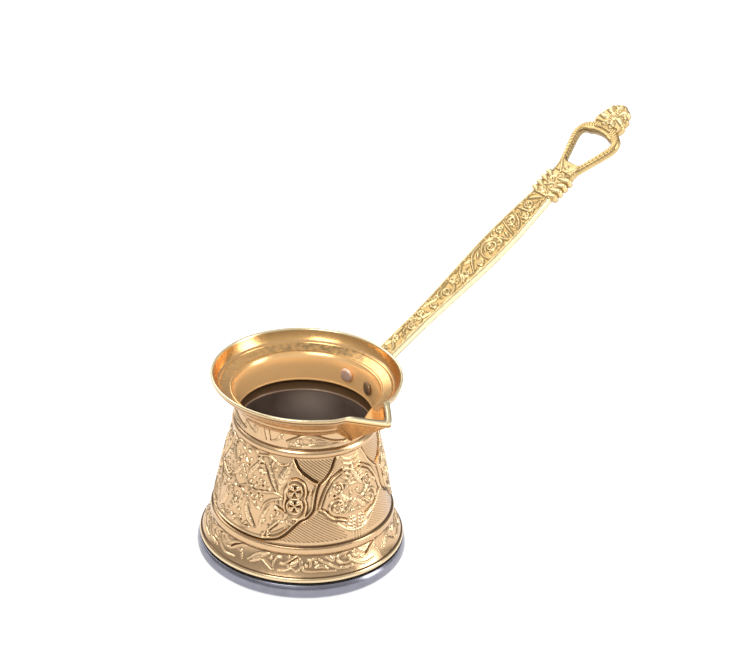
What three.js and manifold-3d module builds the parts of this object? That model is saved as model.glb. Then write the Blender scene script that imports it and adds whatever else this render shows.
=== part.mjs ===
// A Turkish coffee pot, or cezve: a waisted brass pot with a flared rim and a beak, a capped
// base for the stove, and one long cast handle riveted to the neck.
// Millimetres, +Z up. The origin is the centre of the underside, the handle points along +X
// and the beak points along -Y.
import * as THREE from 'three';
import { ConvexGeometry } from 'three/addons/geometries/ConvexGeometry.js';
import { mergeVertices } from 'three/addons/utils/BufferGeometryUtils.js';
import Module from 'manifold-3d';

const wasm = await Module();
wasm.setup();

// Driving dimensions of the pot
const POT_HEIGHT = 81.7;
const RIM_RADIUS = 39;
const NECK_RADIUS = 28.8;
const BAND_RADIUS = 36.6; // the wide end of the patterned band
const FOOT_RING_RADIUS = 41.6; // the pot's widest ring, just above the cap
const CAP_RADIUS = 43;
const CAP_HEIGHT = 7;
const CAP_SHEET = 0.8;
const WALL = 1.3;
const GAP = 0.3; // clearance between two pieces that touch
const ROUND_STEPS = 64; // flat sides around the pot

// Heights on the pot, from the bottom up
const FLOOR_UNDERSIDE = CAP_HEIGHT + GAP;
const FLOOR_TOP = FLOOR_UNDERSIDE + WALL + 0.1;
const BEAD_TOP = 10.2;
const LOWER_RING = 18.5;
const BAND_BOTTOM = 22.3;
const BAND_TOP = 58.5;
const NECK_BOTTOM = 62.3;
const NECK_TOP = 69;
const LIP_BOTTOM = 79;

// The beak, a wedge with two flat flanks that meet in a rounded keel
const BEAK_REACH = 50.2; // from the pot's axis to the tip
const BEAK_HALF_ANGLE = THREE.MathUtils.degToRad(17);
const BEAK_SHOULDER = 38;
const KEEL_BOTTOM = NECK_BOTTOM + 0.5;
const KEEL_ROUNDING = 1.2;
const BEAK_WALL = 2.1; // along Y, which is WALL square to a flank

// The handle, along a line that tilts up from its start and curls up towards the end
const HANDLE_TILT = THREE.MathUtils.degToRad(30.5);
const HANDLE_START = new THREE.Vector3(30, 0, 70.6);
const HANDLE_TOP = 2.3; // height of the top face above the line
const HANDLE_THICKNESS = 3.8;
const HANDLE_LENGTH = 162;
const CURL_START = 45;
const CURL_RISE = 4;
const ROOT_HALF_WIDTH = 4.1;
const COLLAR_START = 109;
const COLLAR_LOBES = 4;
const COLLAR_LOBE_LENGTH = 3;
const LOOP_START = COLLAR_START + COLLAR_LOBES * COLLAR_LOBE_LENGTH;
const LOOP_END = 149.6;

// The handle's foot, a curved plate riveted to the neck, and the web under the handle
const FOOT_RADIUS = 32.3;
const FOOT_HALF_WIDTH = 11.2;
const FOOT_BOTTOM = NECK_BOTTOM + 0.9;
const FOOT_TOP = 74;
const WEB_HALF_WIDTH = 3;

// Rivets
const RIVET_ANGLE = THREE.MathUtils.degToRad(14.5);
const RIVET_HEIGHT = 69.2;
const RIVET_SHANK = 1.5;
const RIVET_HEAD = 2.9;
const RIVET_HEAD_HEIGHT = 1;
const INNER_HEAD_SEAT = 27.1; // from the pot's axis to the back of the inner head
const OUTER_HEAD_SEAT = FOOT_RADIUS + GAP;

// Helpers

// The volume inside a closed surface. It is negative when the faces point inwards.
function signedVolume(points, triangles) {
  const corner = (i) => new THREE.Vector3().fromArray(points, 3 * triangles[i]);
  let total = 0;
  for (let i = 0; i < triangles.length; i += 3) {
    total += corner(i).dot(corner(i + 1).cross(corner(i + 2)));
  }
  return total / 6;
}

// A closed geometry as a solid for cutting and joining, with its faces turned outwards.
function solidOf(geometry) {
  const bare = geometry.clone();
  bare.deleteAttribute('normal');
  bare.deleteAttribute('uv');
  const merged = mergeVertices(bare, 1e-4);
  const vertProperties = new Float32Array(merged.attributes.position.array);
  const triVerts = new Uint32Array(merged.index.array);
  if (signedVolume(vertProperties, triVerts) < 0) triVerts.reverse();
  return new wasm.Manifold(new wasm.Mesh({ numProp: 3, vertProperties, triVerts }));
}

function geometryOf(solid) {
  const { vertProperties, triVerts } = solid.getMesh();
  const geometry = new THREE.BufferGeometry();
  geometry.setAttribute('position', new THREE.BufferAttribute(vertProperties, 3));
  geometry.setIndex(new THREE.BufferAttribute(triVerts, 1));
  geometry.computeVertexNormals();
  return geometry;
}

// Turns a path of (radius, height) points about the Z axis.
function turned(path, curveSteps = 3) {
  return new THREE.LatheGeometry(path.getPoints(curveSteps), ROUND_STEPS).rotateX(Math.PI / 2);
}

function moveEachPoint(geometry, move) {
  const position = geometry.attributes.position;
  const point = new THREE.Vector3();
  for (let i = 0; i < position.count; i += 1) {
    move(point.fromBufferAttribute(position, i));
    position.setXYZ(i, point.x, point.y, point.z);
  }
  return geometry;
}

// The pot

// The outside of the pot as a solid piece, larger all round by offset.
function potOutside(offset = 0) {
  const r = (radius) => radius + offset;
  const path = new THREE.Path();
  path.moveTo(0, FLOOR_UNDERSIDE - offset);
  path.lineTo(r(FOOT_RING_RADIUS) - 0.4, FLOOR_UNDERSIDE - offset);
  path.lineTo(r(FOOT_RING_RADIUS), FLOOR_UNDERSIDE + 0.4);
  path.quadraticCurveTo(r(42.6), 9, r(41.2), BEAD_TOP);
  path.quadraticCurveTo(r(39), 13.6, r(37.6), LOWER_RING);
  path.lineTo(r(37.9), LOWER_RING + 0.5);
  path.lineTo(r(37.7), BAND_BOTTOM - 1);
  path.lineTo(r(BAND_RADIUS), BAND_BOTTOM);
  path.quadraticCurveTo(r(34), 37, r(31.2), 50);
  path.lineTo(r(29), BAND_TOP);
  path.quadraticCurveTo(r(31.4), 60.4, r(NECK_RADIUS), NECK_BOTTOM);
  path.lineTo(r(NECK_RADIUS), NECK_TOP);
  path.quadraticCurveTo(r(31), 70.2, r(32.6), 73.2);
  path.lineTo(r(38), LIP_BOTTOM);
  path.quadraticCurveTo(r(RIM_RADIUS + 0.2), 80, r(RIM_RADIUS), POT_HEIGHT - 0.6);
  path.lineTo(r(RIM_RADIUS) - 0.5, POT_HEIGHT + offset);
  path.lineTo(0, POT_HEIGHT + offset);
  return solidOf(turned(path));
}

// The space inside the pot, up past the rim.
function potInside() {
  const inner = NECK_RADIUS - WALL;
  const path = new THREE.Path();
  path.moveTo(0, FLOOR_TOP);
  path.lineTo(36, FLOOR_TOP);
  path.quadraticCurveTo(39.6, FLOOR_TOP, 38.6, 12);
  path.quadraticCurveTo(36.6, 16, BAND_RADIUS - WALL, BAND_BOTTOM);
  path.quadraticCurveTo(32.8, 37, 29.9, 50);
  path.lineTo(inner, BAND_TOP + 1);
  path.lineTo(inner, NECK_BOTTOM + 1);
  path.lineTo(inner + 0.4, NECK_TOP + 2);
  path.quadraticCurveTo(28.3, 74.2, 30.4, 74.7);
  path.lineTo(35.7, 77.1);
  path.lineTo(RIM_RADIUS - 1.2, POT_HEIGHT);
  path.lineTo(RIM_RADIUS - 1.2, POT_HEIGHT + 1);
  path.lineTo(0, POT_HEIGHT + 1);
  return solidOf(turned(path));
}

// The beak's wedge. Its two flanks run from the shoulders on the rim to the keel.
function beakWedge() {
  const points = [];
  const side = (sign) => new THREE.Vector3(
    sign * BEAK_SHOULDER * Math.sin(BEAK_HALF_ANGLE),
    -BEAK_SHOULDER * Math.cos(BEAK_HALF_ANGLE),
    POT_HEIGHT,
  );
  points.push(side(-1), side(1));
  for (let step = -3; step <= 3; step += 1) {
    const turn = (step * Math.PI) / 9;
    const x = KEEL_ROUNDING * Math.sin(turn);
    const y = KEEL_ROUNDING * (1 - Math.cos(turn));
    points.push(new THREE.Vector3(x, y - BEAK_REACH, POT_HEIGHT));
    points.push(new THREE.Vector3(x / 2, y / 2 - NECK_RADIUS - 0.4, KEEL_BOTTOM));
  }
  points.push(new THREE.Vector3(0, -NECK_RADIUS / 2, POT_HEIGHT));
  points.push(new THREE.Vector3(0, -NECK_RADIUS / 2, KEEL_BOTTOM));
  return solidOf(new ConvexGeometry(points));
}

// A round bar along a rivet's axis, from one distance to another from the pot's axis.
function alongRivet(geometry, side) {
  return geometry
    .rotateZ(-Math.PI / 2)
    .rotateZ(side * RIVET_ANGLE)
    .translate(0, 0, RIVET_HEIGHT);
}

function rivetHoles() {
  const bore = (side) => {
    const bar = new THREE.CylinderGeometry(RIVET_SHANK + GAP, RIVET_SHANK + GAP, 12, 20);
    return solidOf(alongRivet(bar.translate(0, FOOT_RADIUS - 3, 0), side));
  };
  return bore(-1).add(bore(1));
}

function makePotBody() {
  const wedge = beakWedge();
  const innerWedge = wedge.translate([0, BEAK_WALL, 0.6]);
  const hollow = potInside().add(innerWedge);
  return geometryOf(potOutside().add(wedge).subtract(hollow).subtract(rivetHoles()));
}

// The base: a steel cap pressed over an aluminium disc that spreads the heat

function makeBaseCap() {
  const inner = CAP_RADIUS - CAP_SHEET;
  const path = new THREE.Path();
  path.moveTo(0, 0);
  path.lineTo(CAP_RADIUS - 3.5, 0);
  path.quadraticCurveTo(CAP_RADIUS - 0.6, 0.2, CAP_RADIUS, 3.3);
  path.quadraticCurveTo(CAP_RADIUS - 0.2, 5, FOOT_RING_RADIUS, CAP_HEIGHT);
  path.lineTo(FOOT_RING_RADIUS - CAP_SHEET, CAP_HEIGHT);
  path.quadraticCurveTo(inner - 0.3, 5, inner, 3.3);
  path.quadraticCurveTo(inner - 0.6, CAP_SHEET + 0.2, CAP_RADIUS - 3.7, CAP_SHEET);
  path.lineTo(0, CAP_SHEET);
  return geometryOf(solidOf(turned(path)));
}

function makeBaseCore() {
  const bottom = CAP_SHEET + GAP;
  const top = FLOOR_UNDERSIDE - GAP;
  const radius = FOOT_RING_RADIUS - CAP_SHEET - GAP - 0.2;
  const path = new THREE.Path();
  path.moveTo(0, bottom);
  path.lineTo(radius - 1.8, bottom);
  path.quadraticCurveTo(radius, bottom, radius, bottom + 1.8);
  path.lineTo(radius, top);
  path.lineTo(0, top);
  return geometryOf(solidOf(turned(path, 2)));
}

// The handle

// How far the handle has curled up at a distance along it.
function curl(along) {
  const share = Math.max(along - CURL_START, 0) / (HANDLE_LENGTH - CURL_START);
  return CURL_RISE * share ** 1.6;
}

// Puts a flat piece, with x along the handle, y across it and z square to it, in its place.
function bentAlongHandle(geometry) {
  moveEachPoint(geometry, (point) => {
    point.z += curl(point.x);
  });
  return geometry.rotateY(-HANDLE_TILT).translate(...HANDLE_START);
}

// Half of the handle's outline, from its root to its tip.
function handleEdge() {
  const path = new THREE.Path();
  path.moveTo(-3, ROOT_HALF_WIDTH);
  path.lineTo(32, ROOT_HALF_WIDTH);
  path.splineThru([
    new THREE.Vector2(45, 4.8),
    new THREE.Vector2(60, 5.8),
    new THREE.Vector2(76, 6.5),
    new THREE.Vector2(90, 6.3),
    new THREE.Vector2(COLLAR_START, 5),
  ]);
  for (let lobe = 0; lobe < COLLAR_LOBES; lobe += 1) {
    const from = COLLAR_START + lobe * COLLAR_LOBE_LENGTH;
    path.quadraticCurveTo(from + COLLAR_LOBE_LENGTH / 2, 7.8, from + COLLAR_LOBE_LENGTH, 5.6);
  }
  path.splineThru([
    new THREE.Vector2(LOOP_START + 5.5, 6.4),
    new THREE.Vector2(133, 9.2),
    new THREE.Vector2(138.5, 11.6),
    new THREE.Vector2(142.5, 12.5),
    new THREE.Vector2(146.5, 11.2),
    new THREE.Vector2(LOOP_END, 7),
  ]);
  path.quadraticCurveTo(LOOP_END + 4.5, 8.4, LOOP_END + 8.5, 6);
  path.quadraticCurveTo(HANDLE_LENGTH, 3.8, HANDLE_LENGTH, 0);
  return path.getPoints(4);
}

// Half of the loop's hole, from its narrow end to its wide one.
function loopHoleEdge() {
  const path = new THREE.Path();
  path.moveTo(127.5, 0);
  path.quadraticCurveTo(127.3, 4.6, 129, 5.2);
  path.lineTo(139.5, 9.3);
  path.quadraticCurveTo(144.8, 11, 145.2, 7);
  path.quadraticCurveTo(146.8, 3.5, 146.8, 0);
  return path.getPoints(4);
}

// The closed outline whose upper half is edge, anticlockwise.
function mirrored(edge) {
  const below = edge.map((point) => new THREE.Vector2(point.x, -point.y));
  const above = edge.filter((point) => Math.abs(point.y) > 1e-6);
  return [...below, ...above.reverse()];
}

function handleBar() {
  const outline = new THREE.Shape(mirrored(handleEdge()));
  outline.holes.push(new THREE.Path(mirrored(loopHoleEdge())));
  const bar = new THREE.ExtrudeGeometry(outline, { depth: HANDLE_THICKNESS, bevelEnabled: false });
  return solidOf(bentAlongHandle(bar.translate(0, 0, HANDLE_TOP - HANDLE_THICKNESS)));
}

// The curved plate against the neck, before the neck is cut out of it.
function handleFoot() {
  const outline = new THREE.Shape();
  const low = FOOT_BOTTOM;
  outline.moveTo(-FOOT_HALF_WIDTH + 4, low);
  outline.lineTo(FOOT_HALF_WIDTH - 4, low);
  outline.quadraticCurveTo(FOOT_HALF_WIDTH, low + 0.5, FOOT_HALF_WIDTH, low + 6);
  outline.lineTo(FOOT_HALF_WIDTH, FOOT_TOP);
  outline.lineTo(-FOOT_HALF_WIDTH, FOOT_TOP);
  outline.lineTo(-FOOT_HALF_WIDTH, low + 6);
  outline.quadraticCurveTo(-FOOT_HALF_WIDTH, low + 0.5, -FOOT_HALF_WIDTH + 4, low);
  const options = { depth: FOOT_RADIUS + 1, bevelEnabled: false, curveSegments: 6 };
  const block = new THREE.ExtrudeGeometry(outline, options);
  block.rotateX(Math.PI / 2).rotateZ(Math.PI / 2);
  const round = new THREE.CylinderGeometry(FOOT_RADIUS, FOOT_RADIUS, 40, 96);
  round.rotateX(Math.PI / 2).translate(0, 0, NECK_TOP);
  return solidOf(block).intersect(solidOf(round));
}

// The web that carries the load from the handle down into the foot.
function handleWeb() {
  const outline = new THREE.Shape();
  outline.moveTo(26, FOOT_BOTTOM + 0.6);
  outline.lineTo(FOOT_RADIUS - 0.5, FOOT_BOTTOM + 0.6);
  outline.quadraticCurveTo(34.5, 70, 47, 79.2);
  outline.lineTo(40, 77);
  outline.lineTo(26, 70);
  const options = { depth: 2 * WEB_HALF_WIDTH, bevelEnabled: false, curveSegments: 8 };
  const web = new THREE.ExtrudeGeometry(outline, options);
  return solidOf(web.rotateX(Math.PI / 2).translate(0, WEB_HALF_WIDTH, 0));
}

function makeHandle() {
  const casting = handleBar().add(handleFoot()).add(handleWeb());
  return geometryOf(casting.subtract(potOutside(GAP)).subtract(rivetHoles()));
}

// The rivets

// One rivet, with a flat round head inside the neck and another on the foot's outside.
function makeRivet(side) {
  const path = new THREE.Path();
  const inner = INNER_HEAD_SEAT;
  const outer = OUTER_HEAD_SEAT;
  path.moveTo(0, inner - RIVET_HEAD_HEIGHT);
  path.quadraticCurveTo(RIVET_HEAD, inner - RIVET_HEAD_HEIGHT, RIVET_HEAD, inner - 0.2);
  path.lineTo(RIVET_HEAD, inner);
  path.lineTo(RIVET_SHANK, inner);
  path.lineTo(RIVET_SHANK, outer);
  path.lineTo(RIVET_HEAD, outer);
  path.lineTo(RIVET_HEAD, outer + 0.2);
  path.quadraticCurveTo(RIVET_HEAD, outer + RIVET_HEAD_HEIGHT, 0, outer + RIVET_HEAD_HEIGHT);
  const lathe = new THREE.LatheGeometry(path.getPoints(3), 20);
  return geometryOf(solidOf(alongRivet(lathe, side)));
}

// The whole pot

const BRASS = { color: 0xcda36a, roughness: 0.28, metalness: 1 };
const CAST_BRASS = { color: 0xd8bd84, roughness: 0.32, metalness: 1 };
const STEEL = { color: 0xa9aaba, roughness: 0.22, metalness: 1 };
const ALUMINIUM = { color: 0xb9bcc0, roughness: 0.45, metalness: 1 };
const COPPER = { color: 0xc99a86, roughness: 0.35, metalness: 1 };

const pot = new THREE.Group();

function addPiece(name, geometry, look) {
  const mesh = new THREE.Mesh(geometry, new THREE.MeshStandardMaterial(look));
  mesh.name = name;
  pot.add(mesh);
}

addPiece('pot_body', makePotBody(), BRASS);
addPiece('base_cap', makeBaseCap(), STEEL);
addPiece('base_core', makeBaseCore(), ALUMINIUM);
addPiece('handle', makeHandle(), CAST_BRASS);
addPiece('rivet_left', makeRivet(1), COPPER);
addPiece('rivet_right', makeRivet(-1), COPPER);

export default pot;
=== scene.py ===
"""A Turkish coffee pot: an embossed brass body with a beak, a polished steel cap under it,
and a cast brass handle with a scroll relief, a hanging loop and a palmette."""
import math

import bpy
import numpy as np
from mathutils import Matrix, Vector


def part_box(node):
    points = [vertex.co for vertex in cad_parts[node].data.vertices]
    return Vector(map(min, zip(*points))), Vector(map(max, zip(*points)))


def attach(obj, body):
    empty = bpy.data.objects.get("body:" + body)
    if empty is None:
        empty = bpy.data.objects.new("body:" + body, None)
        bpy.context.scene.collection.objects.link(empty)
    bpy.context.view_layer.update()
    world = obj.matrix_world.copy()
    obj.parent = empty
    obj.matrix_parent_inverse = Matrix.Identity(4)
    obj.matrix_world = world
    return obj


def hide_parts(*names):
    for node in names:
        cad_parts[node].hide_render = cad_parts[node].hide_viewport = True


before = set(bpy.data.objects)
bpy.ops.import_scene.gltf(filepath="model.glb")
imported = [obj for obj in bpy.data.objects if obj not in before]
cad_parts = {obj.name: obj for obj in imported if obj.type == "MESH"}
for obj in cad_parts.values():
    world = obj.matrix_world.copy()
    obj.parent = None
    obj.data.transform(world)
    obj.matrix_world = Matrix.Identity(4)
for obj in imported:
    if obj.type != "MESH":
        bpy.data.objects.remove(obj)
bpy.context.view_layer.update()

MM = 0.001               # shapes are worked out in millimetres and built in metres
rng = np.random.default_rng(7)    # places the small leaves that fill the patterns' ground


# Places taken from the frame, in millimetres

pot_low, pot_high = np.array(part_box("pot_body")) / MM
cap_high = np.array(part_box("base_cap"))[1] / MM

POT_HEIGHT = pot_high[2]
FLOOR_UNDERSIDE = pot_low[2]
CAP_RADIUS = cap_high[0]
CAP_HEIGHT = cap_high[2]
BEAK_REACH = -pot_low[1]

# The pot's shape
RIM_RADIUS = 39.0
NECK_RADIUS = 28.7
WALL = 1.25
CAP_SHEET = 0.8
BEAD_TOP = 10.2
LOWER_RING = 18.5
BAND_BOTTOM = 22.3
BAND_TOP = 58.5
NECK_BOTTOM = 62.4
NECK_TOP = 69.0
LIP_BOTTOM = 79.4
SHOULDER_SWELL = 0.45      # how far the rim bulges beside the beak
# Inside, the dark material starts at LINING_TOP; above RING_INSIDE it is painted shade on the brass of the
# recess inside the bead
LINING_TOP = 63.2
RING_INSIDE = 58.4
COLUMNS = 900
BEAK_ANGLE = -88.0       # degrees round from +X, where the handle is
TARNISH_ANGLE = 40.0     # the middle of the dull side of the ledge inside the flare

# The turned grooves, which get painted shade with some patina in them, as (height, half width)
DARK_LINES = ((7.8, 0.35), (BEAD_TOP, 0.25), (LOWER_RING, 0.2), (BAND_BOTTOM, 0.5),
              (BAND_TOP + 0.2, 0.2), (NECK_BOTTOM, 0.3), (71.4, 0.22), (73.0, 0.2),
              (LIP_BOTTOM - 0.9, 0.4), (LIP_BOTTOM + 0.9, 0.3))

# Ways round the pot are in degrees, as its pattern is drawn
STEP = 360 / COLUMNS
ANGLES = -180 + STEP * np.arange(COLUMNS)


# Curves and relief

def smooth(points, parts=5):
    """The Catmull-Rom curve through the points, which keeps its ends."""
    p = np.array(points, float)
    if len(p) < 3:
        return p
    p = np.vstack([2 * p[0] - p[1], p, 2 * p[-1] - p[-2]])
    t = np.linspace(0, 1, parts, endpoint=False)[:, None]
    runs = []
    for a, b, c, d in zip(p, p[1:], p[2:], p[3:]):
        runs.append(0.5 * (2 * b + (c - a) * t + (2 * a - 5 * b + 4 * c - d) * t**2
                           + (3 * b - a - 3 * c + d) * t**3))
    return np.vstack(runs + [p[-2:-1]])


def toward(degrees):
    return np.array([math.cos(math.radians(degrees)), math.sin(math.radians(degrees))])


def directions(points):
    """The unit steps along a curve, and the same turned to its left."""
    along = np.gradient(points, axis=0)
    along /= np.linalg.norm(along, axis=1)[:, None]
    return along, np.stack([-along[:, 1], along[:, 0]], 1)


def beside(points, offset):
    """The curve at a distance to the left of another."""
    p = smooth(points)
    return p + offset * directions(p)[1]


def curl(centre, radius, start, turns, shrink=0.25):
    """A spiral that winds in from the radius, from an angle in degrees."""
    t = np.linspace(0, 1, max(6, int(10 * abs(turns))))
    angle = math.radians(start) + 2 * math.pi * turns * t
    r = radius * (1 - (1 - shrink) * t)
    return np.stack([centre[0] + r * np.cos(angle), centre[1] + r * np.sin(angle)], 1)


class Relief:
    """Heights over a flat sheet, in millimetres, drawn with strokes that round off at the sides.
    A stroke's width is half of it, and a list varies it evenly along the stroke. It is a ridge, or
    a groove where its height is below 0."""

    def __init__(self, across, up):
        self.across = across
        self.up = up
        self.raised = np.zeros((len(up), len(across)))
        self.cut = np.zeros_like(self.raised)

    def window(self, low, high):
        columns = np.searchsorted(self.across, [low[0], high[0]])
        rows = np.searchsorted(self.up, [low[1], high[1]])
        return slice(*rows), slice(*columns)

    def line(self, points, width, height):
        """A stroke with straight runs between its points."""
        p = np.array(points, float)
        widths = np.interp(np.linspace(0, 1, len(p)), np.linspace(0, 1, np.size(width)),
                           np.atleast_1d(width))
        layer = self.raised if height > 0 else self.cut
        for a, b, wa, wb in zip(p, p[1:], widths, widths[1:]):
            reach = max(wa, wb)
            view = self.window(np.minimum(a, b) - reach, np.maximum(a, b) + reach)
            if layer[view].size == 0:
                continue
            x = self.across[view[1]][None, :] - a[0]
            y = self.up[view[0]][:, None] - a[1]
            d = b - a
            t = np.clip((x * d[0] + y * d[1]) / max(d @ d, 1e-9), 0, 1)
            distance = np.hypot(x - t * d[0], y - t * d[1])
            share = np.clip(distance / (wa + t * (wb - wa)), 0, 1)
            layer[view] = np.maximum(layer[view], abs(height) * (1 - share**2) ** 0.75)

    def stroke(self, points, width, height):
        self.line(smooth(points), width, height)

    def strokes(self, lines, width, height):
        for points in lines:
            self.stroke(points, width, height)

    def dots(self, centres, radius, height):
        for x, y in centres:
            self.line([(x, y), (x + 1e-3, y)], radius, height)

    def heights(self):
        return self.raised - self.cut


def inside(polygon, x, y):
    """Which points lie inside a closed outline."""
    found = np.zeros(np.broadcast(x, y).shape, bool)
    for (x0, y0), (x1, y1) in zip(polygon, np.roll(polygon, -1, axis=0)):
        crosses = (y0 > y) != (y1 > y)
        with np.errstate(divide="ignore", invalid="ignore"):
            found ^= crosses & (x < (x1 - x0) * (y - y0) / (y1 - y0) + x0)
    return found


# The pattern of the wide band. It is drawn over a quarter of the pot, from the middle of a large
# medallion to the middle of a pointed one 90 degrees on, and mirrored round the pot.

BAND_RADIUS = 33
BAND_SCALE = math.radians(1) * BAND_RADIUS    # millimetres to a degree
BAND_DEPTH = 1.5
HATCH_PITCH = 0.95
HATCH_TILT = math.radians(33)
HATCH_DEPTH = 0.14


def on_band(*points):
    return [(a * BAND_SCALE, z) for a, z in points]


BIG_OUTLINE = (
    on_band((-4, 23.5), (22, 23.6), (30, 24.4), (36, 25.6), (41, 28.2), (45, 31)),
    on_band((45, 31), (49, 33.4), (54, 35.1), (57.5, 38), (58.6, 42), (60, 46), (61.4, 48.2)),
    on_band((61.4, 48.2), (57, 49.4), (53, 51), (49.5, 52.4)),
    on_band((49.5, 52.4), (46, 54.5), (43.5, 57), (41.5, 59.5)),
)
POINTED_OUTLINE = (
    on_band((78, 59.5), (74.5, 56), (72.5, 53.6), (68, 50.6), (63.5, 48.4)),
    on_band((83, 52.5), (78, 51.2), (73, 49.4), (70, 47.3), (67.4, 45), (65.2, 42), (63.8, 39.5),
            (63, 37.6)),
    on_band((63, 37.6), (66.5, 36.5), (69.5, 34.5), (73, 33), (77, 32.4), (82, 31.2)),
    on_band((75.5, 30.6), (80, 28.4), (84, 27), (88, 26.4), (92, 26.4)),
)
UPPER_FIELD = on_band((43, 60), (46.6, 54.59), (50.4, 52.2), (56, 50.2), (62, 48.9), (67.5, 51),
                      (72.4, 54.2), (77, 60))
LOWER_FIELD = on_band((62.4, 36.9), (58.2, 34.9), (53, 32.7), (48, 30.9), (44, 28), (39, 25.2),
                      (35, 24), (83, 24), (80, 27), (75, 30), (70, 32.9), (65.5, 35.3))


def draw_outlines(sheet):
    for edge in BIG_OUTLINE:
        sheet.stroke(edge, 0.42, 0.5)
        sheet.line(beside(edge, -0.9), 0.6, -0.55)
    crown, *sides, foot = POINTED_OUTLINE
    sheet.stroke(crown, 0.55, -0.5)
    sheet.line(beside(crown, 0.9), 0.45, 0.35)
    for edge in sides:
        sheet.stroke(edge, 0.45, 0.45)
        sheet.line(beside(edge, 0.8), 0.35, -0.2)
        sheet.line(beside(edge, -0.9), 0.4, -0.16)
    sheet.stroke(foot, 0.35, 0.35)


def draw_flower(sheet, centre, radius):
    """A round flower of four petals in a ring."""
    sheet.stroke(curl(centre, radius, 0, 1, shrink=1), 0.42, 0.55)
    for turn in (45, 135, 225, 315):
        petal = toward(turn)
        gap = toward(turn + 45)
        sheet.line([centre + 0.2 * radius * petal, centre + 0.6 * radius * petal],
                   [0.45, 0.36 * radius], 0.5)
        sheet.line([centre + 0.2 * radius * gap, centre + 0.55 * radius * gap], 0.36, -0.36)
    sheet.dots([centre], 0.5, 0.3)


def draw_leaf(sheet, points, width):
    """A leaf with a groove along its middle and small cuts at its sides."""
    sheet.stroke(points, [0.15, width, 0.9 * width, 0.12], 0.38)
    sheet.stroke(points, 0.16, -0.2)
    p = smooth(points)
    along, left = directions(p)
    for i in range(3, len(p) - 3, 3):
        for side in (-1, 1):
            end = p[i] + 0.8 * width * (side * left[i] + 0.7 * along[i])
            sheet.line([p[i], end], 0.13, -0.16)


def draw_big_medallion(sheet):
    for centre in on_band((45.4, 45.1), (45.8, 39)):
        draw_flower(sheet, np.array(centre), 3.1)
    frames = (
        on_band((42, 49.6), (47, 50), (51.6, 48.4), (53.4, 45), (52.4, 42)),
        on_band((52.4, 42), (53.8, 39.6), (52.6, 36), (49, 33.9), (45, 33.6)),
        on_band((40.4, 47.8), (38.6, 45), (39.2, 42.2), (38.4, 39.4), (39.6, 36.4)),
    )
    for points in frames:
        sheet.stroke(points, [0.3, 0.55, 0.55, 0.3], 0.5)
        sheet.line(beside(points, 0.75), 0.25, -0.18)
    leaves = (
        (on_band((33, 43.6), (29.5, 47.5), (26, 51.5), (22, 56.5)), 1.0),
        (on_band((34, 44.5), (35.5, 49), (38, 52.5), (42.5, 56.5)), 2.0),
        (on_band((11, 37.5), (11.5, 33.5), (14.5, 29.5), (19.5, 25.8)), 1.7),
        (on_band((5.5, 39), (4, 35), (0, 31.5), (-4, 28)), 1.0),
        (on_band((9, 43), (5, 45.5), (0.5, 48.8), (-4, 52.6)), 1.1),
        (on_band((8, 46.5), (10, 49.5), (13.5, 52), (17, 55.5)), 1.2),
        (on_band((28, 27.2), (31.5, 29.2), (35, 31.5), (39.5, 32)), 0.9),
        (on_band((22.5, 27), (23.5, 31), (25.5, 34.5), (28.5, 38)), 0.8),
    )
    for points, width in leaves:
        draw_leaf(sheet, points, width)
    stems = (
        on_band((9, 41.6), (17, 41.9), (23, 42.6), (31, 43.5), (37, 42.4)),
        on_band((23, 35.5), (25.5, 38.4), (30, 40.3), (37, 41.4)),
        on_band((2, 57.6), (9, 57.9), (14.5, 56.7), (23, 57.6), (30, 56)),
        on_band((30, 55.5), (34.5, 55.1), (39.5, 55.8)),
        on_band((31.5, 37.8), (36, 36.8), (41, 35), (45, 33.6)),
        on_band((0, 40.6), (4, 41.6), (8, 43)),
        on_band((17, 35.4), (19, 35.6), (21.5, 35)),
        on_band((4, 27), (9, 25.6), (15, 26)),
        on_band((40.5, 29.8), (36, 27.6), (30.5, 26)),
    )
    sheet.strokes(stems, [0.2, 0.42, 0.42, 0.2], 0.46)
    berries = on_band((17, 50.6), (19.4, 49.2), (13.2, 46.9), (19, 46.8), (22.5, 46.2), (10.7, 44.9),
                      (15.2, 43.6), (20, 44), (17.5, 39.4), (21.4, 39.1), (13.6, 39.2), (25.2, 30.6),
                      (-8, 55), (7.5, 53.2), (4.6, 31.2), (0, 37), (0, 44.6), (6.5, 28.6), (34.6, 34.6))
    sheet.dots(berries, 0.85, 0.45)
    pits = on_band((15.8, 45.3), (21.2, 44.9), (10, 41), (12, 40.1), (18.7, 41), (21.8, 40.8),
                   (32.6, 36.1), (28.8, 29.6), (5, 36), (6.4, 51), (3, 34), (7.4, 27.6))
    sheet.dots(pits, 0.5, -0.42)
    cuts = (
        on_band((20.5, 54), (23.4, 51.2), (27.5, 47.2), (31.6, 44)),
        on_band((11.4, 36), (14.4, 32), (20, 27)),
        on_band((4.4, 41.8), (0.5, 40.2), (-4, 38)),
        on_band((33, 38.7), (37, 37.2), (41, 35.4)),
        on_band((30, 27.4), (34, 30), (37.4, 32.6)),
    )
    sheet.strokes(cuts, [0.15, 0.34, 0.3, 0.12], -0.4)


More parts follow.
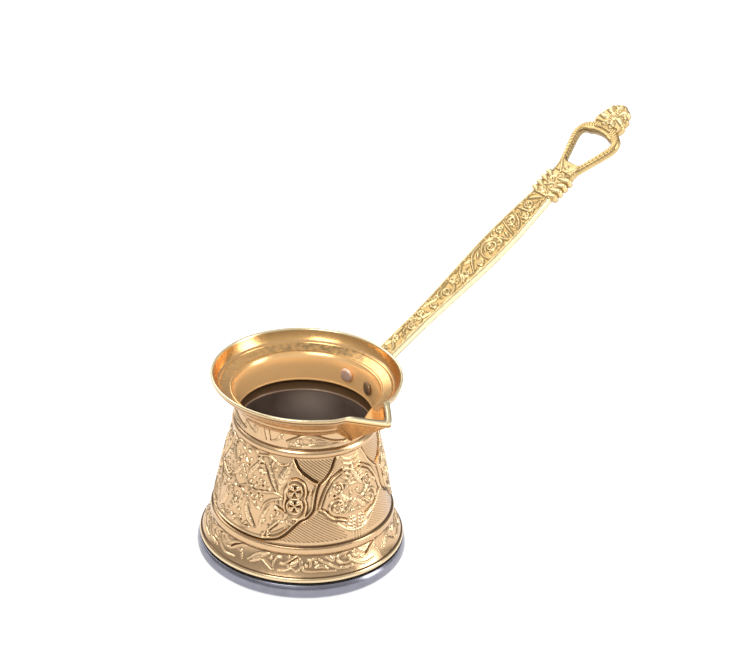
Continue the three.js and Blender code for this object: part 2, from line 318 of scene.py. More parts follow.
def draw_pointed_medallion(sheet):
    low, high = on_band((76, 37.6), (76.6, 45.4))
    sheet.stroke(curl(low, 3.6, 200, -1.4), [0.5, 0.42, 0.3], 0.5)
    sheet.stroke(curl(high, 2.6, -60, 1.5), [0.42, 0.36, 0.25], 0.45)
    for k in range(5):
        away = toward(-70 + 34 * k)
        start = low + 1.1 * away
        sheet.line([start, start + 2.4 * away], [0.25, 0.62, 0.2], 0.36)
    sheet.dots(on_band((74.2, 42.4)), 0.7, -0.5)
    draw_leaf(sheet, on_band((75.4, 42.6), (79, 41.8), (83, 40), (88, 39.6)), 1.2)
    draw_leaf(sheet, on_band((81.5, 44), (85, 46.6), (88.4, 50), (90, 54.6)), 1.3)
    draw_leaf(sheet, on_band((80, 34.2), (83.6, 35.6), (87, 38), (90, 39)), 1.1)
    for k in range(6):
        z = 46.4 + 2.05 * k
        blade = on_band((79 + 0.6 * k, z + 0.9), (83, z + 0.5), (87, z - 0.3), (91.5, z - 0.4))
        sheet.stroke(blade, [0.12, 0.38, 0.38, 0.2], 0.34)
    for k in range(4):
        z = 28.4 + 1.5 * k
        blade = on_band((81.6 + k, z), (85, z - 0.9), (89, z - 0.8))
        sheet.stroke(blade, [0.12, 0.34, 0.15], 0.32)
    for half in (1.0, 3.4):
        sheet.line(on_band((90 - half, 22.5), (90 - half, 29 + half)), 0.2, 0.24)


def hatch(across, up):
    """Fine slanting cuts, from 0 to 1 deep."""
    over = across * math.sin(HATCH_TILT) + up * math.cos(HATCH_TILT)
    return 0.5 + 0.5 * np.cos(2 * math.pi * over / HATCH_PITCH)


def fill_ground(sheet, within, pitch, height):
    """Small curved leaves wherever the pattern has left the ground bare."""
    for x in np.arange(sheet.across[0], sheet.across[-1], pitch):
        for y in np.arange(sheet.up[0], sheet.up[-1], pitch):
            at = np.array([x, y]) + rng.uniform(-0.35, 0.35, 2) * pitch
            turn = rng.uniform(0, 180)
            bending = rng.uniform(-0.6, 0.6)
            view = sheet.window(at - 0.3 * pitch, at + 0.3 * pitch)
            raised, cut = sheet.raised[view], sheet.cut[view]
            if raised.size == 0 or max(raised.max(), cut.max()) >= 0.06 or not within(at):
                continue
            reach = 0.5 * pitch * toward(turn)
            middle = at + 0.5 * pitch * bending * toward(turn + 90)
            sheet.stroke([at - reach, middle, at + reach], [0.12, 0.3 * pitch, 0.12], height)


def band_relief(up):
    """The wide band's heights all round the pot, at the given heights up it."""
    across = np.arange(COLUMNS // 4 + 1) * STEP * BAND_SCALE
    sheet = Relief(across, up)
    draw_outlines(sheet)
    draw_big_medallion(sheet)
    draw_pointed_medallion(sheet)
    big = np.vstack([*BIG_OUTLINE, on_band((-15, 59.5), (-15, 23.5))])
    pointed = np.vstack([*POINTED_OUTLINE[1:3], on_band((95, 31), (95, 57), (86, 56))])
    for outline in (big, pointed):
        fill_ground(sheet, lambda at: bool(inside(outline, *at)) and 25 < at[1] < 57, pitch=2.5,
                    height=0.45)
    fields = inside(UPPER_FIELD, across[None, :], up[:, None])
    fields |= inside(LOWER_FIELD, across[None, :], up[:, None])
    half_turn = np.mod(ANGLES + 180, 180)
    quarter = np.rint(np.minimum(half_turn, 180 - half_turn) / STEP).astype(int)
    heights = sheet.heights()
    heights[fields] = np.minimum(heights[fields], 0)
    around = heights[:, quarter] * BAND_DEPTH
    cuts = hatch((ANGLES[None, :] + 180) * BAND_SCALE, up[:, None])
    hatched = fields[:, quarter] * cuts
    return around - HATCH_DEPTH * hatched, hatched


# The patterns of the two narrow bands repeat every quarter of the pot. They are drawn in degrees
# from BAND_START.

BAND_START = -190


def repeat_band(up, radius, draw):
    """A narrow band's heights all round the pot. It is drawn three times, so that what runs past
    one end of the quarter comes in at the other."""
    scale = math.radians(1) * radius
    sheet = Relief(np.arange(COLUMNS // 4) * STEP * scale, up)
    for shift in (-90, 0, 90):
        draw(sheet, lambda *points, s=shift: [((a + s) * scale, z) for a, z in points])
    first = round((BAND_START + 180) / STEP)
    order = np.mod(np.arange(COLUMNS) - first, COLUMNS // 4)
    return sheet.heights()[:, order]


def draw_foot_vine(sheet, at):
    """The running vine of the lowest band."""
    ridges = (
        at((28, 18.9), (22, 17.6), (18.6, 16.5), (15.5, 15), (12, 14.2), (9.5, 14.6)),
        at((7, 18.8), (4.8, 17.3), (5.8, 15.9), (8.5, 15.7)),
        at((1.4, 15.6), (5, 13.9), (9, 12.4), (13, 11.9), (19, 12.4)),
        at((23.6, 14.6), (24.6, 12.8)),
        at((28.5, 13.6), (32, 15.8), (36.4, 17.2), (41.4, 17.8)),
        at((45.4, 12.4), (45.2, 15.4), (46.8, 17.1), (49.6, 17.1)),
        at((49, 14.8), (51.8, 14.9), (56, 16.8), (60.4, 18.8)),
        at((48, 12), (52, 12.3), (55.8, 13.3), (58, 12.6)),
        at((61, 17), (61.2, 14.4), (60.3, 13), (58.6, 12.2)),
        at((62, 16.4), (62.4, 14), (63.6, 12.8), (68, 12.4), (74, 12.4), (82, 12)),
        at((72.6, 17), (75, 15.8), (77.6, 15), (81, 13.6), (84.6, 12.6), (90, 12.1)),
        at((94, 18.4), (89, 18.2), (85, 17.3), (84, 15.8), (86, 14.5), (90, 14), (92.6, 14.8),
           (91.6, 16.2), (88.6, 16.3)),
        at((65.8, 16.6), (68, 16.8), (70.6, 17.3)),
        at((67, 16.7), (67.2, 15.4), (67, 14.2)),
        at((90, 12.1), (86, 12.9), (93, 12.4)),
    )
    sheet.strokes(ridges, [0.25, 0.46, 0.42, 0.2], 0.42)
    leaves = (
        (at((30.4, 13), (32.6, 14.6), (35.4, 15.4), (38.5, 17.4)), 1.3),
        (at((9, 17.8), (12.4, 16.6), (15, 17), (19, 18.4)), 0.9),
        (at((53, 13.4), (55.4, 14.4), (57.4, 14.9), (60, 16.4)), 0.8),
        (at((70, 13.6), (72.4, 14.2), (75, 14), (78, 12.9)), 0.8),
        (at((76.4, 17.8), (79, 17.2), (81, 16.2), (83, 17.6)), 0.8),
    )
    for points, width in leaves:
        draw_leaf(sheet, points, width)
    cuts = (
        at((36.8, 15.6), (40.6, 14.1), (44.4, 12.5)),
        at((23, 18.5), (18, 16.9), (14, 15.1)),
        at((52.6, 14.6), (56.2, 16.2), (59.4, 17.5)),
        at((0, 16.9), (3, 17.6)),
    )
    sheet.strokes(cuts, [0.15, 0.36, 0.3], -0.36)
    berries = at((39, 17.2), (2.4, 12.6), (22.6, 15.6), (43.2, 16.4), (54.4, 17.8), (64.6, 14.4),
                 (70.6, 15.6), (95.6, 16.4))
    sheet.dots(berries, 0.6, 0.4)


def draw_neck_scrolls(sheet, at):
    """The long pointed panels round the neck, with a scroll in each and leaves over them."""
    upper = at((47, 65.5), (53, 67.2), (59, 68.5), (64, 68.8), (71, 68.3), (77, 67.2), (83, 66),
               (90, 65.1), (96, 64.6))
    lower = at((47, 65.5), (52, 64.6), (62, 64), (77, 64), (87, 64.3), (96, 64.6))
    sheet.strokes((upper, lower), [0.2, 0.34, 0.34, 0.2], 0.42)
    sheet.line(beside(upper, 0.6), 0.3, -0.2)
    ridges = (
        at((64.5, 68), (60, 67.9), (58.2, 66.6), (60, 65), (64, 64.6), (69, 65), (74, 65.2), (80, 64.9)),
        at((63, 66.4), (64, 67.4), (66.6, 67.9), (68.2, 67.2), (67, 66.3), (65.4, 66.4)),
        at((70, 66.8), (75, 66.5), (81, 65.6)),
        at((54, 66.2), (56.4, 66.4), (55.4, 65.3), (52, 65.4)),
        at((33, 64.4), (37, 65.2), (40, 66.3), (41.4, 68.2), (43.6, 68.2), (44.2, 66.9), (42.6, 66.4)),
        at((28.8, 68.8), (29.6, 66.6), (30.8, 64.3)),
        at((21.4, 68.6), (22, 66.4), (23.4, 64.3)),
        at((18, 64.6), (15.4, 66.2), (12, 66.4), (9, 67.8), (5.6, 68.2), (4, 66.8), (6, 66)),
        at((16, 68.4), (18.4, 67.6), (19.2, 66)),
        at((48, 63.4), (62, 63.2), (77, 63.2), (87, 63.5)),
    )
    sheet.strokes(ridges, [0.2, 0.36, 0.32, 0.16], 0.38)
    cuts = (
        at((26.4, 68.7), (27.4, 66.6), (29, 64.4)),
        at((31.2, 68.9), (32.2, 66.7), (33, 64.6)),
    )
    sheet.strokes(cuts, 0.3, -0.32)


# The pot

BEAK_HALF_ANGLE = math.radians(17.6)
BEAK_SHOULDER = RIM_RADIUS - 1.2
BEAK_TIP = BEAK_REACH + 1.7      # where the flanks would meet if the tip weren't rounded
KEEL_ROUNDING = math.radians(1.7)
BEAK_SPREAD = 0.9                # radians to each side that the flanks may reach
BEAK_BLEND = 0.9


def beak_plane(inset):
    """The flank's plane as (across, out, up, distance), with inset square to it."""
    side = np.array([BEAK_SHOULDER * math.sin(BEAK_HALF_ANGLE),
                     BEAK_SHOULDER * math.cos(BEAK_HALF_ANGLE), LIP_BOTTOM])
    tip = np.array([0, BEAK_TIP, LIP_BOTTOM])
    foot = np.array([0, NECK_RADIUS + 0.3, NECK_BOTTOM + 0.6])
    normal = np.cross(side - tip, foot - tip)
    normal /= np.linalg.norm(normal) * (1 if normal[1] > 0 else -1)
    return (*normal, normal @ tip - inset)


def pressed(radius, height, inset):
    """The wall's radius once the beak is pressed out, and how far the beak shows there."""
    across, out, up, distance = beak_plane(inset)
    from_keel = np.radians(np.mod(ANGLES - BEAK_ANGLE + 180, 360) - 180)
    rounded = np.hypot(from_keel, KEEL_ROUNDING)
    facing = across * np.sin(rounded) + out * np.cos(rounded)
    wedge = (distance - up * np.minimum(height, LIP_BOTTOM)) / np.maximum(facing, 0.05)
    near = (np.abs(from_keel) < BEAK_SPREAD) & (height > NECK_BOTTOM - 3)
    gap = np.where(near, wedge, 0) - radius
    blend = np.clip(0.5 + gap / (2 * BEAK_BLEND), 0, 1)
    return radius + gap * blend + BEAK_BLEND * blend * (1 - blend), blend


def bend(start, control, end, step):
    """Points along a quadratic curve, without its start."""
    a, b, c = (np.array(p, float) for p in (start, control, end))
    length = np.linalg.norm(b - a) + np.linalg.norm(c - b)
    t = np.linspace(0, 1, max(3, int(length / step) + 1))[1:, None]
    return (1 - t)**2 * a + 2 * t * (1 - t) * b + t**2 * c


def straight(start, end, step):
    a, b = np.array(start, float), np.array(end, float)
    t = np.linspace(0, 1, max(2, int(np.linalg.norm(b - a) / step) + 1))[1:, None]
    return a + (b - a) * t


def follow(start, *runs):
    """Joins runs of (end, step) or (control, end, step) into one line of points."""
    line = [np.array([start], float)]
    for *points, step in runs:
        at = line[-1][-1]
        line.append(bend(at, *points, step) if len(points) == 2 else straight(at, *points, step))
    return np.vstack(line)


def outside_profile():
    """The pot's outside as (radius, height), from the middle of its floor to the top of the lip."""
    fine = 0.23
    return follow(
        (0, FLOOR_UNDERSIDE),
        ((41.0, FLOOR_UNDERSIDE), 8),
        ((41.5, FLOOR_UNDERSIDE), (41.5, 7.9), 0.3),
        ((42.1, 8.2), (42.0, 9.1), 0.3),
        ((41.9, 10.0), (41.0, 10.3), 0.3),
        ((39.0, 13.4), (37.5, LOWER_RING - 0.2), fine),
        ((37.2, 18.6), (37.6, 19.0), 0.25),
        ((38.1, 20.3), (37.6, 21.6), 0.3),
        ((37.5, 22.0), (36.6, BAND_BOTTOM), 0.25),
        ((34.1, 37), (31.2, 50), fine),
        ((29.0, BAND_TOP), fine),
        ((28.9, 58.7), (29.3, 58.9), 0.2),
        ((30.6, 60.5), (29.1, 62.0), 0.25),
        ((28.4, 62.3), (NECK_RADIUS, 62.8), 0.2),
        ((NECK_RADIUS, NECK_TOP), fine),
        ((29.6, 70.4), (31.2, 72.4), fine),
        ((31.1, 72.8), (31.9, 73.1), 0.2),
        ((32.4, 73.3), (32.4, 73.7), 0.2),
        ((34.6, 76.6), (37.6, 78.7), 0.4),
        ((37.8, 78.9), (37.5, LIP_BOTTOM), 0.15),
        ((38.5, LIP_BOTTOM + 0.1), (38.8, 80.2), 0.2),
        ((39.1, 80.9), (38.8, POT_HEIGHT - 0.3), 0.2),
        ((38.7, POT_HEIGHT), (38.3, POT_HEIGHT), 0.15),
    )


def inside_profile():
    """The pot's inside, from the top of the lip to the middle of its floor."""
    neck = NECK_RADIUS - WALL
    return follow(
        (38.3, POT_HEIGHT),
        ((37.9, POT_HEIGHT), (37.7, POT_HEIGHT - 0.4), 0.15),
        ((37.0, 79.0), (35.9, 77.4), 0.4),
        ((35.7, 76.9), (35.2, 77.0), 0.15),
        ((34.9, 76.9), (34.7, 76.5), 0.15),
        ((30.9, 75.1), 0.5),
        ((30.5, 75.3), (30.1, 75.0), 0.15),
        ((29.2, 74.2), (28.8, 72.6), 0.2),
        ((28.4, 71), (28.2, 69), 0.4),
        ((neck + 0.1, 63.9), 0.6),
        ((neck - 0.15, 63.5), (neck, 63.2), 0.12),
        ((neck + 1.0, 62.6), (neck + 1.1, 61.5), 0.2),
        ((neck + 0.6, 59.4), (neck + 0.1, RING_INSIDE + 0.3), 0.3),
        ((neck - 0.1, RING_INSIDE), (neck + 0.1, RING_INSIDE - 0.3), 0.12),
        ((28.2, 57), (29.9, 50), 1.0),
        ((32.8, 37), (35.3, BAND_BOTTOM), 1.2),
        ((36.6, 16), (38.6, 12), 1.0),
        ((39.4, FLOOR_UNDERSIDE + 1.3), (36, FLOOR_UNDERSIDE + 1.3), 0.5),
        ((0, FLOOR_UNDERSIDE + 1.3), 6),
    )


def ring_faces(rows, columns):
    """The faces of a tube of rows of points, with one point at each end to close it."""
    j = np.arange(columns)
    k = np.mod(j + 1, columns)
    first = 1 + columns * np.arange(rows - 3)[:, None]
    quads = np.stack([first + j, first + k, first + columns + k, first + columns + j], -1)
    last = 1 + columns * (rows - 3)
    bottom = np.stack([np.zeros_like(j), 1 + k, 1 + j], -1)
    top = np.stack([last + j, last + k, np.full_like(j, last + columns)], -1)
    return bottom, quads.reshape(-1, 4), top


def soften(field, cells):
    """The field averaged over a square of cells, wrapped round the pot."""
    for axis, mode in ((0, "edge"), (1, "wrap")):
        pad = [(cells, cells) if i == axis else (0, 0) for i in range(2)]
        total = np.cumsum(np.pad(field, pad, mode=mode), axis=axis)
        total = np.insert(total, 0, 0, axis=axis)
        size = field.shape[axis]
        near = np.take(total, np.arange(size), axis=axis)
        far = np.take(total, np.arange(size) + 2 * cells + 1, axis=axis)
        field = (far - near) / (2 * cells + 1)
    return field


def build_mesh(name, points, faces, materials):
    mesh = bpy.data.meshes.new(name)
    mesh.from_pydata((points * MM).tolist(), [], [face for block in faces for face in block.tolist()])
    for material in materials:
        mesh.materials.append(material)
    mesh.polygons.foreach_set("use_smooth", np.ones(len(mesh.polygons), bool))
    mesh.update()
    piece = bpy.data.objects.new(name, mesh)
    bpy.context.scene.collection.objects.link(piece)
    return piece


def add_field(piece, name, values):
    layer = piece.data.attributes.new(name, "FLOAT", "POINT")
    layer.data.foreach_set("value", np.asarray(values, np.float32).ravel())


def around_axis(r, z, turn):
    """Rows of points round Z, one row after another, with a single point at each closed end."""
    r, z, turn = np.broadcast_arrays(r, z, turn)
    grid = np.stack([r * np.cos(turn), r * np.sin(turn), z], -1)
    return np.vstack([grid[:1, 0], grid[1:-1].reshape(-1, 3), grid[-1:, 0]])


def pot_relief(profile, is_outside):
    """The relief of the three patterned bands, and their hatching, for each row of the profile."""
    height = profile[:, 1]
    relief = np.zeros((len(profile), COLUMNS))
    hatched = np.zeros_like(relief)

    def rows_between(low, high):
        return np.flatnonzero(is_outside & (height > low) & (height < high) & (profile[:, 0] > 20))

    band = rows_between(BAND_BOTTOM + 0.2, BAND_TOP)
    relief[band], hatched[band] = band_relief(height[band])
    neck = rows_between(NECK_BOTTOM + 0.6, NECK_TOP + 0.4)
    relief[neck] = 1.25 * repeat_band(height[neck], NECK_RADIUS, draw_neck_scrolls)
    foot = rows_between(BEAD_TOP + 0.7, LOWER_RING - 0.1)
    relief[foot] = 1.2 * repeat_band(height[foot], RIM_RADIUS, draw_foot_vine)
    ends = np.ones(len(profile))
    for low, high in ((BAND_BOTTOM, BAND_TOP), (NECK_BOTTOM + 0.5, NECK_TOP + 0.4),
                      (BEAD_TOP + 0.5, LOWER_RING)):
        near = np.minimum(height - low, high - height)
        ends = np.where(near > 0, np.clip(near / 0.7, 0, 1), ends)
    return relief * ends[:, None], hatched


def pot_radius(profile, is_outside):
    """The wall's radius all round for each row, and how far the beak shows there."""
    height = profile[:, 1:]
    outside = is_outside[:, None]
    lip = np.clip((height - LIP_BOTTOM) / 0.3, 0, 1) * outside
    drawn = SHOULDER_SWELL * np.exp(-((np.abs(ANGLES - BEAK_ANGLE) - 24) / 5.5)**2)
    swell = np.interp(height, [NECK_TOP + 3, LIP_BOTTOM], [0, 1]) * drawn
    radius, beak = pressed(profile[:, :1] - lip + swell, height, np.where(outside, 0, WALL))
    return radius + lip, beak


def add_pot_fields(piece, profile, is_outside, relief, hatched, beak):
    """What the brass depends on, at each point of the pot."""
    height = profile[:, 1:]
    outside = is_outside[:, None]

    def by_height(*steps):
        heights, values = zip(*steps)
        return np.interp(height, heights, values)

    lines = sum(np.exp(-((height - line) / half_width)**2) for line, half_width in DARK_LINES)
    grooves = lines * outside * (1 - beak * (height < LIP_BOTTOM))
    flare = by_height((NECK_TOP + 2, 0), (NECK_TOP + 4, 0.25))
    ledge = by_height((75.0, 0), (75.2, 1), (76.6, 1), (76.9, 0)) * ~outside
    fields = {
        "relief": relief,
        "hatched": hatched,
        # Painted shade with some patina: darker where the relief lies below its surroundings, and along
        # the turned grooves
        "crease_shade_and_grime": relief - soften(relief, 4) - 0.35 * grooves,
        "polish": np.maximum(np.where(outside, flare, 1), 0.85 * beak),
        # Painted light: the inside of the neck gets a lighter, less metallic brass so that it looks lit
        "inner": by_height((73.6, 1), (75.2, 0)) * ~outside,
        "tarnish": ledge * (0.25 + 0.75 * np.exp(-((ANGLES - TARNISH_ANGLE) / 50)**2)),
        # Painted highlight: the bead and the top of the lip get a pale colour for their bright sheen
        "side": by_height((8.3, 0), (8.7, 0.6), (9.6, 0.6), (9.9, 0), (POT_HEIGHT - 0.8, 0),
                          (POT_HEIGHT - 0.4, 0.9)),
    }
    for name, values in fields.items():
        values = np.broadcast_to(values, relief.shape)
        add_field(piece, name, np.concatenate([values[:1, 0], values[1:-1].ravel(), values[-1:, 0]]))


def make_pot(brass, lining):
    outside = outside_profile()
    profile = np.vstack([outside, inside_profile()[1:]])
    is_outside = np.arange(len(profile)) < len(outside)
    relief, hatched = pot_relief(profile, is_outside)
    radius, beak = pot_radius(profile, is_outside)
    relief *= 1 - beak
    outward = -directions(profile)[1]
    points = around_axis(radius + relief * outward[:, :1], profile[:, 1:] + relief * outward[:, 1:],
                         np.radians(ANGLES))
    piece = build_mesh("pot_shell", points, ring_faces(len(profile), COLUMNS), [brass, lining])
    first_dark = np.flatnonzero(~is_outside & (profile[:, 1] < LINING_TOP))[0]
    slots = np.zeros(len(piece.data.polygons), np.int32)
    slots[COLUMNS * first_dark:] = 1
    piece.data.polygons.foreach_set("material_index", slots)
    add_pot_fields(piece, profile, is_outside, relief, hatched, beak)
    return piece


# Flat pieces with a relief, cut to an outline and then put in place

def edge_distance(outlines, x, y):
    """The distance of each point to the nearest outline, and the nearest place on it."""
    best = np.full(x.shape, np.inf)
    near_x = np.zeros(x.shape)
    near_y = np.zeros(x.shape)
    for outline in outlines:
        for a, b in zip(outline, np.roll(outline, -1, axis=0)):
            d = b - a
            t = np.clip(((x - a[0]) * d[0] + (y - a[1]) * d[1]) / max(d @ d, 1e-9), 0, 1)
            px = a[0] + t * d[0]
            py = a[1] + t * d[1]
            distance = np.hypot(x - px, y - py)
            closer = distance < best
            best = np.where(closer, distance, best)
            near_x = np.where(closer, px, near_x)
            near_y = np.where(closer, py, near_y)
    return best, near_x, near_y


def rounded_off(depth, rounding):
    """How far a face falls back toward its edge, depth being the distance to that edge."""
    inward = np.minimum(depth, rounding)
    return rounding - np.sqrt(np.maximum(rounding**2 - (rounding - inward)**2, 0))


class Plate:
    """A flat piece inside an outline, on a square grid whose edge points are moved onto it."""

    def __init__(self, outlines, step):
        self.outlines = outlines
        low = np.min(outlines[0], axis=0) - step
        high = np.max(outlines[0], axis=0) + step
        self.xs = np.arange(low[0], high[0] + step, step)
        self.ys = np.arange(low[1], high[1] + step, step)
        x, y = np.meshgrid(self.xs, self.ys, indexing="ij")
        distance, near_x, near_y = edge_distance(outlines, x, y)
        within = inside(outlines[0], x, y)
        for hole in outlines[1:]:
            within &= ~inside(hole, x, y)
        signed = np.where(within, distance, -distance)
        solid = signed > -0.45 * step
        kept = solid[:-1, :-1] & solid[1:, :-1] & solid[1:, 1:] & solid[:-1, 1:]
        self.kept = np.pad(kept, 1)
        uses = (self.kept[:-1, :-1].astype(int) + self.kept[1:, :-1] + self.kept[1:, 1:]
                + self.kept[:-1, 1:])
        self.used = uses > 0
        edge = self.used & (uses < 4)
        self.x = np.where(edge, near_x, x)[self.used]
        self.y = np.where(edge, near_y, y)[self.used]
        self.depth = np.where(edge, 0, np.maximum(signed, 0))[self.used]
        self.number = np.full(x.shape, -1)
        self.number[self.used] = np.arange(self.used.sum())

    def faces(self):
        """The faces of the top, of the underside and of the sides between them."""
        n = self.number
        kept = self.kept[1:-1, 1:-1]
        corners = [n[:-1, :-1], n[1:, :-1], n[1:, 1:], n[:-1, 1:]]
        top = np.stack([c[kept] for c in corners], -1)
        count = len(self.x)
        sides = []
        neighbours = (self.kept[1:-1, :-2], self.kept[2:, 1:-1], self.kept[1:-1, 2:],
                      self.kept[:-2, 1:-1])
        for i, neighbour in enumerate(neighbours):
            open_edge = kept & ~neighbour
            a = corners[i][open_edge]
            b = corners[(i + 1) % 4][open_edge]
            sides.append(np.stack([a, a + count, b + count, b], -1))
        return [top, (top + count)[:, ::-1], *sides]

    def build(self, name, place, top, under, relief, rounding, material):
        """The piece, with place giving a point for each (x, y, height)."""
        drop = rounded_off(self.depth, rounding)
        upper = place(self.x, self.y, top + relief - drop)
        lower = place(self.x, self.y, under + 0.5 * drop)
        piece = build_mesh(name, np.vstack([upper, lower]), self.faces(), [material])
        blank = np.zeros(len(self.x))
        add_field(piece, "relief", np.concatenate([relief, blank]))
        # Painted shade with some dirt: the points round a hole are darkened, for the shaded faces inside
        # it
        if self.outlines[1:]:
            from_hole = edge_distance(self.outlines[1:], self.x, self.y)[0]
            dark = np.where(from_hole < 0.4, -0.2, 0)
            add_field(piece, "crease_shade_and_grime", np.concatenate([dark, dark]))
        # Painted highlight: the bar's outer edge points get a pale colour for the bright sheen of its
        # polished sides
        side = (self.depth < 0.05) & (self.x < COLLAR_START)
        add_field(piece, "side", np.concatenate([side, side]))
        return piece


def mirrored(edge):
    """The closed outline whose upper half is the edge."""
    edge = np.array(edge)
    below = edge * (1, -1)
    return np.vstack([below, edge[::-1]])


def unite(first, *others):
    """Joins closed pieces into one, with nothing left inside."""
    for other in others:
        modifier = first.modifiers.new("union", "BOOLEAN")
        modifier.operation = "UNION"
        modifier.solver = "MANIFOLD"
        modifier.object = other
    scene = bpy.context.evaluated_depsgraph_get()
    joined = bpy.data.meshes.new_from_object(first.evaluated_get(scene))
    first.modifiers.clear()
    first.data = joined
    for other in others:
        bpy.data.objects.remove(other)
    return first


# The handle. Along it and across it are flat directions, laid on a rising line afterwards.

HANDLE_TILT = math.radians(30.5)
HANDLE_START = (30.0, 70.6)
HANDLE_TOP = 2.3
HANDLE_UNDER = -1.5
HANDLE_LENGTH = 162.0
CURL_START = 45.0
CURL_RISE = 4.0
COLLAR_START = 109.0
COLLAR_LOBES = 4
COLLAR_LOBE = 3.0
LOOP_START = COLLAR_START + COLLAR_LOBES * COLLAR_LOBE
LOOP_END = 149.6


def laid_on_handle(along, across, above):
    share = np.maximum(along - CURL_START, 0) / (HANDLE_LENGTH - CURL_START)
    above = above + CURL_RISE * share**1.6
    x = HANDLE_START[0] + along * math.cos(HANDLE_TILT) - above * math.sin(HANDLE_TILT)
    z = HANDLE_START[1] + along * math.sin(HANDLE_TILT) + above * math.cos(HANDLE_TILT)
    return under_the_rim(np.stack([x, across, z], -1))


def under_the_rim(points):
    """Keeps the points just below the pot's flaring rim."""
    flare = outside_profile()
    flare = flare[(flare[:, 1] > NECK_TOP) & (flare[:, 1] < LIP_BOTTOM)]
    ceiling = np.interp(np.hypot(points[:, 0], points[:, 1]), flare[:, 0], flare[:, 1], right=np.inf)
    points[:, 2] = np.minimum(points[:, 2], ceiling - 0.35)
    return points


def handle_outline():
    line = follow(
        (0.5, 0),
        ((0.5, 4.1), 1), ((32, 4.1), 2),
        ((45, 4.5), (60, 5.7), 2), ((75, 6.9), (90, 6.3), 2), ((101, 5.6), (COLLAR_START, 4.9), 2),
    )
    for lobe in range(COLLAR_LOBES):
        start = COLLAR_START + lobe * COLLAR_LOBE
        rim = follow(line[-1], ((start + 0.2, 7.4), (start + COLLAR_LOBE / 2, 7.3), 0.3),
                     ((start + COLLAR_LOBE - 0.3, 7.2), (start + COLLAR_LOBE, 5.7), 0.3))
        line = np.vstack([line, rim[1:]])
    loop = smooth([(LOOP_START, 5.7), (LOOP_START + 2.5, 5.5), (127, 6.6), (133, 9.15), (138, 11.3),
                   (141, 12.2), (144, 12.1), (147, 10.7), (LOOP_END - 0.4, 7.6), (LOOP_END, 7.0)], 8)
    palmette = follow(loop[-1], ((LOOP_END + 1, 8.2), (153, 7.7), 0.4), ((154, 6.6), (154.2, 6.7), 0.3),
                      ((156.4, 7.6), (157.4, 5.9), 0.4), ((157.8, 5.2), (158.2, 5.2), 0.3),
                      ((160.6, 5.2), (160.8, 3.0), 0.4), ((161, 2.4), (161.4, 2.2), 0.3),
                      ((HANDLE_LENGTH, 1.2), (HANDLE_LENGTH, 0), 0.4))
    return mirrored(np.vstack([line[1:], loop[1:], palmette[1:-1]]))


def loop_hole():
    return mirrored(smooth([(127.8, 0.01), (127.9, 2.6), (128.7, 4.3), (130.4, 5.1), (133, 6.1),
                            (138, 8.0), (141.2, 9.0), (143.2, 9.0), (144.2, 7.8), (144.5, 5.8),
                            (145.3, 3.4), (145.7, 0.01)], 6))


def draw_handle(sheet):
    """The scrolls along the bar: stems that part and roll up, with leaves between them."""
    spirals = ((21, 0.9, 1.5, 200, -1.0), (29, -0.7, 1.8, 90, 1.1), (35.6, 1.0, 1.5, 0, 1.0),
               (42, -0.9, 1.6, 120, 1.0), (49.5, -0.5, 2.2, 150, -1.2), (56, 1.7, 1.6, 0, 1.1),
               (61.2, -1.2, 1.9, 60, 1.1), (68.4, -2.4, 1.6, 30, -1.1), (77, -0.6, 2.9, 160, -1.4),
               (85.4, 2.6, 1.8, 0, 1.1), (91.4, 1.7, 2.2, 200, 1.2), (96.4, -2.0, 1.8, 0, -1.1),
               (102, 1.0, 2.1, 120, 1.2))
    for s, y, radius, start, turns in spirals:
        sheet.stroke(curl((s, y), radius, start, turns, shrink=0.35), [0.6, 0.55, 0.4], 0.6)
        sheet.dots([(s, y)], 0.5, 0.5)
    stems = (
        ((13, -2.4), (16.5, -1.8), (18.6, 0.4), (21, 2.4), (26.4, 2.6)),
        ((23, -2.6), (26.4, -2.6), (31, -2.6), (34, -1.4)),
        ((31.4, 2.6), (33, 0), (36.6, -1.8), (40, -2.8)),
        ((37.6, 2.8), (42, 1.8), (45.6, 0.8), (47.4, 2.6), (52, 2.8)),
        ((44.4, -3), (47, -3.2), (51.4, -3), (53.8, -1), (54.4, 2.8)),
        ((56, -3.6), (58.4, -1), (60, 1.8), (62.4, 3.4)),
        ((63, -4.2), (65.6, -0.4), (68, 2.6), (71, 4.4), (75.4, 4.8)),
        ((71.8, -4.8), (71.8, -1), (73.4, 2), (76.4, 3.6), (79.8, 3), (82, 0.4), (83.4, -4.6)),
        ((86.6, -4.8), (87.6, -1.6), (88.2, 1), (89.6, 4.6)),
        ((89.8, -4.6), (92.4, -2.4), (94.4, 0.6), (95.4, 4.4)),
        ((98.4, 4.2), (98.8, 1), (99.6, -2), (104, -3.4)),
        ((104.4, 3), (106, 1), (107.6, -1.6)),
    )
    sheet.strokes(stems, [0.3, 0.62, 0.55, 0.3], 0.6)
    leaves = (
        ((16, 2.8), (18, 2.2), (19, 1)), ((24.4, 0.2), (25.4, 1), (27, 1.4)),
        ((30, 1.4), (31, 2), (30.4, 3)), ((44.6, 2.6), (46, 1.6), (46.4, -1.4)),
        ((57.6, -3), (59, -2.2), (59.2, 0.4)), ((64, 3.4), (66.4, 3), (67.6, 1)),
        ((69.4, 0.4), (71, 1.6), (73, 3.6)), ((79.6, -4), (81.4, -2.6), (81.6, 0.6)),
        ((82.6, 4.8), (81.4, 3.4), (83, 1.4)), ((84.6, -3.6), (85.4, -1.8), (85.8, -0.2)),
        ((92.6, 4.6), (93.6, 3.2), (93.8, 1.4)), ((99.6, -3.8), (100.6, -2.8), (102.6, -2.2)),
    )
    sheet.strokes(leaves, [0.25, 0.85, 0.25], 0.5)


